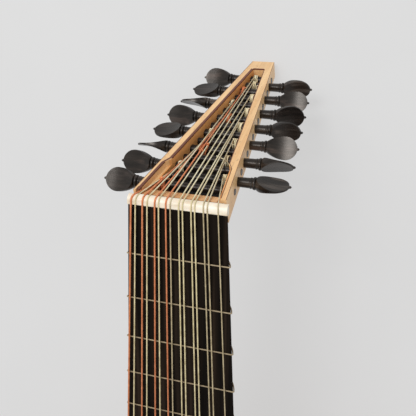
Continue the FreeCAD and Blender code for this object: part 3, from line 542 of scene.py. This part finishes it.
for seed, (course, thick, nut_x, bridge_x, number, winding_x, turns, lean, tail) in enumerate(STRINGS):
    radius = thick * MM / 2
    finish = copper if course in WOUND else gut_tan if course in TAN else gut_cream
    line, axis = string_route(nut_x * MM, bridge_x * MM, number, winding_x * MM, thick * MM)
    run = tube(f"run_{course}", line, radius, finish, ROOT, 12)
    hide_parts(f"string_{course}")
    coil = winding(number, axis, line[-1], thick * MM, turns, lean, tail, seed)
    wrap = tube(f"winding_{course}", coil, radius * WRAP_SHARE, finish, peg_name(number), 8)
    x, y, z = bridge_x * MM, -STRING_LENGTH, BRIDGE_RISE
    reach = radius + 0.2 * MM
    tie = [
        (x, y - 18.5 * MM, 2.2 * MM), (x, y - 18.5 * MM, 4.6 * MM), (x, y - 13 * MM, 7.2 * MM + radius),
        (x, y - 8 * MM, 9.1 * MM + radius), (x + 0.4 * MM, y - 3 * MM, 9.2 * MM + radius),
        (x + 1.1 * MM, y + reach, 8.6 * MM), (x + 1.2 * MM, y + reach * 1.6, 7.2 * MM),
        (x + 0.4 * MM, y + reach * 1.8, z - radius * 2.1), (x - 1.1 * MM, y + reach * 1.2, 6.4 * MM),
        (x - 1.5 * MM, y + reach, 8.4 * MM), (x - 1.7 * MM, y - 2.5 * MM, 9.2 * MM + radius),
        (x - 2.0 * MM, y - 6 * MM, 9.2 * MM + radius),
    ]
    knot = tube(f"bridge_tie_{course}", smooth([Vector(p) for p in tie], 5), radius * 0.9, finish, ROOT, 8)

# ---------------------------------------------------------------- tied frets

FRETS = 8
KNOT_INSET = 1.2 * MM
KNOT_DEPTH = 5.2 * MM
KNOT_RADIUS = 0.42 * MM
KNOT_STEPS = 64

for number in range(1, FRETS + 1):
    node = f"fret_{number}"
    data = frame["nodes"][node].data
    data.materials.clear()
    data.materials.append(gut_fret)
    place = -STRING_LENGTH * (1 - 2 ** (-number / 12))
    ring = [LUTE.inverted() @ v.co for v in data.vertices]
    bass_edge = min(v.x for v in ring)
    centre = Vector((bass_edge + KNOT_INSET, place, -KNOT_DEPTH))
    knot = []
    for k in range(KNOT_STEPS):
        angle = math.tau * k / KNOT_STEPS
        wide = 1.05 + 0.45 * math.cos(3 * angle)
        out = 0.35 * math.sin(3 * angle) - 0.35
        along, up = wide * math.cos(2 * angle), wide * 1.25 * math.sin(2 * angle)
        knot.append(centre + Vector((out, along, up)) * MM)
    piece = tube(f"{node}_knot", knot, KNOT_RADIUS, gut_fret, node, 8, closed=True)

# ---------------------------------------------------------------- strips of dark wood on the pegbox


def rim_line(name, stations, wide, high, across=(1, 0, 0)):
    """A strip let into the pegbox through (x, y, z) in the pegbox frame, its width measured along across."""
    half, up = Vector(across) * wide / 2, Vector((0, 0, high / 2))
    verts = []
    for station in stations:
        centre = Vector(station)
        corners = up - half, up + half, half - up, -half - up
        verts += [LUTE @ PEGBOX @ (centre + corner) for corner in corners]
    count = len(stations)
    faces = [(0, 1, 2, 3), tuple(range(4 * count - 1, 4 * count - 5, -1))]
    for i in range(count - 1):
        for k in range(4):
            j = (k + 1) % 4
            faces.append((4 * i + k, 4 * i + 4 + k, 4 * i + 4 + j, 4 * i + j))
    mesh = bpy.data.meshes.new(name)
    mesh.from_pydata(verts, [], faces)
    mesh.materials.append(line_wood)
    piece = bpy.data.objects.new(name, mesh)
    bpy.context.scene.collection.objects.link(piece)
    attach(piece, ROOT)


THIN_RIM = 3.7 * MM
SCOOP_END = 36 * MM
SCOOP_FAR = 42 * MM
LINE_DEPTH = 0.9 * MM
LINE_PROUD = 0.06 * MM
LINE_DROP = LINE_PROUD - LINE_DEPTH / 2
BASS_LINE_WIDE = 1.9 * MM
TREBLE_LINE_WIDE = 0.5 * MM
END_LINE_WIDE = 1.1 * MM
OUTER_LINE_WIDE = 0.3 * MM
OUTER_LINE_DEPTH = 0.1 * MM
OUTER_LINE_INSET = 0.1 * MM
END_LINE_INSET = 0.5 * MM
for side, label, wide in ((-1, "bass", BASS_LINE_WIDE), (1, "treble", TREBLE_LINE_WIDE)):
    inner_line = []
    for along, inset in ((RIM_START + 1 * MM, THIN_RIM), (SCOOP_END, THIN_RIM), (SCOOP_FAR, CHEEK),
                         (END_BLOCK, CHEEK)):
        inner_line.append((side * (half_width(along) - inset - LINE_PROUD + wide / 2), along, LINE_DROP))
    rim_line(f"inner_line_{label}", inner_line, wide, LINE_DEPTH)
    outer_line = []
    for along in (RIM_START, RIM - 0.3 * MM):
        outer_line.append((side * (half_width(along) - OUTER_LINE_INSET), along, 0))
    rim_line(f"outer_line_{label}", outer_line, OUTER_LINE_WIDE, OUTER_LINE_DEPTH)
end_half = half_width(END_BLOCK) - CHEEK
end_line = [(side * end_half, END_BLOCK + END_LINE_INSET, LINE_DROP) for side in (-1, 1)]
rim_line("end_line", end_line, END_LINE_WIDE, LINE_DEPTH, (0, 1, 0))

# ---------------------------------------------------------------- bowl seams, rose carving

AXIS_HEIGHT = 11 * MM
RIB_ANGLE = math.radians(15.64)
RIBS = 11
SEAM_NEAR = 0.0012  # radians
SEAM_SINK = 0.12 * MM
SEAM_RADIUS = 0.32 * MM
STATION_PITCH = 2 * MM
to_lute = LUTE.inverted()
bowl = [to_lute @ v.co for v in frame["nodes"]["bowl_ribs"].data.vertices]


def around_bowl(point):
    return math.atan2(point.x, AXIS_HEIGHT - point.z)


for seam in range(1, RIBS):
    angle = (seam - RIBS / 2) * RIB_ANGLE
    edge = {}
    for point in bowl:
        if abs(around_bowl(point) - angle) < SEAM_NEAR:
            key = round(point.y / STATION_PITCH)
            out = math.hypot(point.x, point.z - AXIS_HEIGHT)
            if out > edge.get(key, (0, 0))[0]:
                edge[key] = (out, point.y)
    stations = [edge[key] for key in sorted(edge)]
    line = []
    for out, y in stations:
        reach = out - SEAM_SINK
        line.append(Vector((math.sin(angle) * reach, y, AXIS_HEIGHT - math.cos(angle) * reach)))
    if len(line) > 3:
        tube(f"rib_seam_{seam}", line, SEAM_RADIUS, line_wood, ROOT, 6)

rose_low, rose_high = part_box("rose")
rose_centre = to_lute @ ((rose_low + rose_high) / 2)
ROSE = 50 * MM
ROSE_TOP = rose_centre.z + 0.5 * MM
RING_RADIUS = 0.7 * MM
EYE_RADIUS = 0.45 * MM
EYE_EDGE = 0.012
PETALS = 12


def circle_points(centre_x, centre_y, radius, steps):
    """A ring of points level with the rose's top."""
    ring = []
    for k in range(steps):
        angle = math.tau * k / steps
        x, y = centre_x + radius * math.cos(angle), centre_y + radius * math.sin(angle)
        ring.append(Vector((x, y, ROSE_TOP)))
    return ring


for name, share in (("rose_ring_outer", 0.975), ("rose_ring_middle", 0.665), ("rose_ring_inner", 0.42)):
    ring = circle_points(rose_centre.x, rose_centre.y, ROSE * share, 96)
    tube(name, ring, RING_RADIUS, spruce, ROOT, 8, closed=True)
for row, (share, opening) in enumerate(((0.3, 0.062), (0.54, 0.1), (0.8, 0.135))):
    for petal in range(PETALS):
        angle = math.tau * (petal + (0.5 if row == 1 else 0)) / PETALS
        x = rose_centre.x + ROSE * share * math.cos(angle)
        y = rose_centre.y + ROSE * share * math.sin(angle)
        eye = circle_points(x, y, ROSE * (opening + EYE_EDGE), 28)
        tube(f"rose_eye_{row}_{petal}", eye, EYE_RADIUS, spruce, ROOT, 6, closed=True)

# ---------------------------------------------------------------- floor, light, camera


def area_light(name, where, target, size, power):
    light = bpy.data.lights.new(name, "AREA")
    light.shape = "RECTANGLE"
    light.size, light.size_y = size
    light.energy = power
    piece = bpy.data.objects.new(name, light)
    piece.location = LUTE @ Vector(where)
    aim = LUTE @ Vector(target) - piece.location
    piece.rotation_euler = aim.to_track_quat("-Z", "Y").to_euler()
    bpy.context.scene.collection.objects.link(piece)


def floor_material():
    s = Shader("floor")
    grain = s.noise(s.place(0, (1, 1, 1)), 6, 3)
    s.set(Base_Color=s.ramp(grain, (0.3, srgb(122, 122, 122)), (0.7, srgb(126, 126, 126))), Roughness=0.9,
          Specular_IOR_Level=0.1, Emission_Color=(1.0, 1.0, 1.0), Emission_Strength=0.5)
    return s.material


FLOOR_HALF = 4.0
FLOOR_DROP = 0.3 * MM
floor_mesh = bpy.data.meshes.new("floor")
corners = [(x * FLOOR_HALF, y * FLOOR_HALF, -FLOOR_DROP) for x, y in ((-1, -1), (1, -1), (1, 1), (-1, 1))]
floor_mesh.from_pydata(corners, [], [(0, 1, 2, 3)])
floor_mesh.materials.append(floor_material())
floor = bpy.data.objects.new("floor", floor_mesh)
bpy.context.scene.collection.objects.link(floor)

EYE = Vector((143.3, 125.7, 337.4)) * MM
LOOK = Vector((-0.275, -0.333, -0.902)).normalized()
UP = Vector((-0.116, 0.943, -0.313))
RIGHT = LOOK.cross(UP).normalized()
UP = RIGHT.cross(LOOK)

world = bpy.data.worlds.new("studio")
world.use_nodes = True
background = world.node_tree.nodes["Background"]
background.inputs[0].default_value = (1, 1, 1, 1)
background.inputs[1].default_value = 0.7
bpy.context.scene.world = world
HEAD = (0.0, 0.05, -0.06)
area_light("front", (-0.12, 0.59, 0.93), HEAD, (0.38, 0.28), 5.0)
area_light("bass_strip", (-0.6, 0.46, 0.92), (-0.06, 0.02, -0.04), (0.06, 0.5), 1.2)
sun = bpy.data.lights.new("key", "SUN")
sun.energy = 0.35
sun.angle = math.radians(40)
key = bpy.data.objects.new("key", sun)
key.rotation_euler = (LUTE.to_3x3() @ Vector((0.35, -0.75, -1.1))).to_track_quat("-Z", "Y").to_euler()
bpy.context.scene.collection.objects.link(key)

camera_data = bpy.data.cameras.new("camera")
camera_data.sensor_width = 36
camera_data.lens = 53.94
camera_data.shift_x = -0.075
camera_data.shift_y = 0.018
camera_data.clip_start = 0.01
camera = bpy.data.objects.new("camera", camera_data)
pose = Matrix((RIGHT, UP, -LOOK)).transposed().to_4x4()
camera.matrix_world = LUTE @ Matrix.Translation(EYE) @ pose
bpy.context.scene.collection.objects.link(camera)
bpy.context.scene.camera = camera
bpy.context.scene.view_settings.view_transform = "Standard"
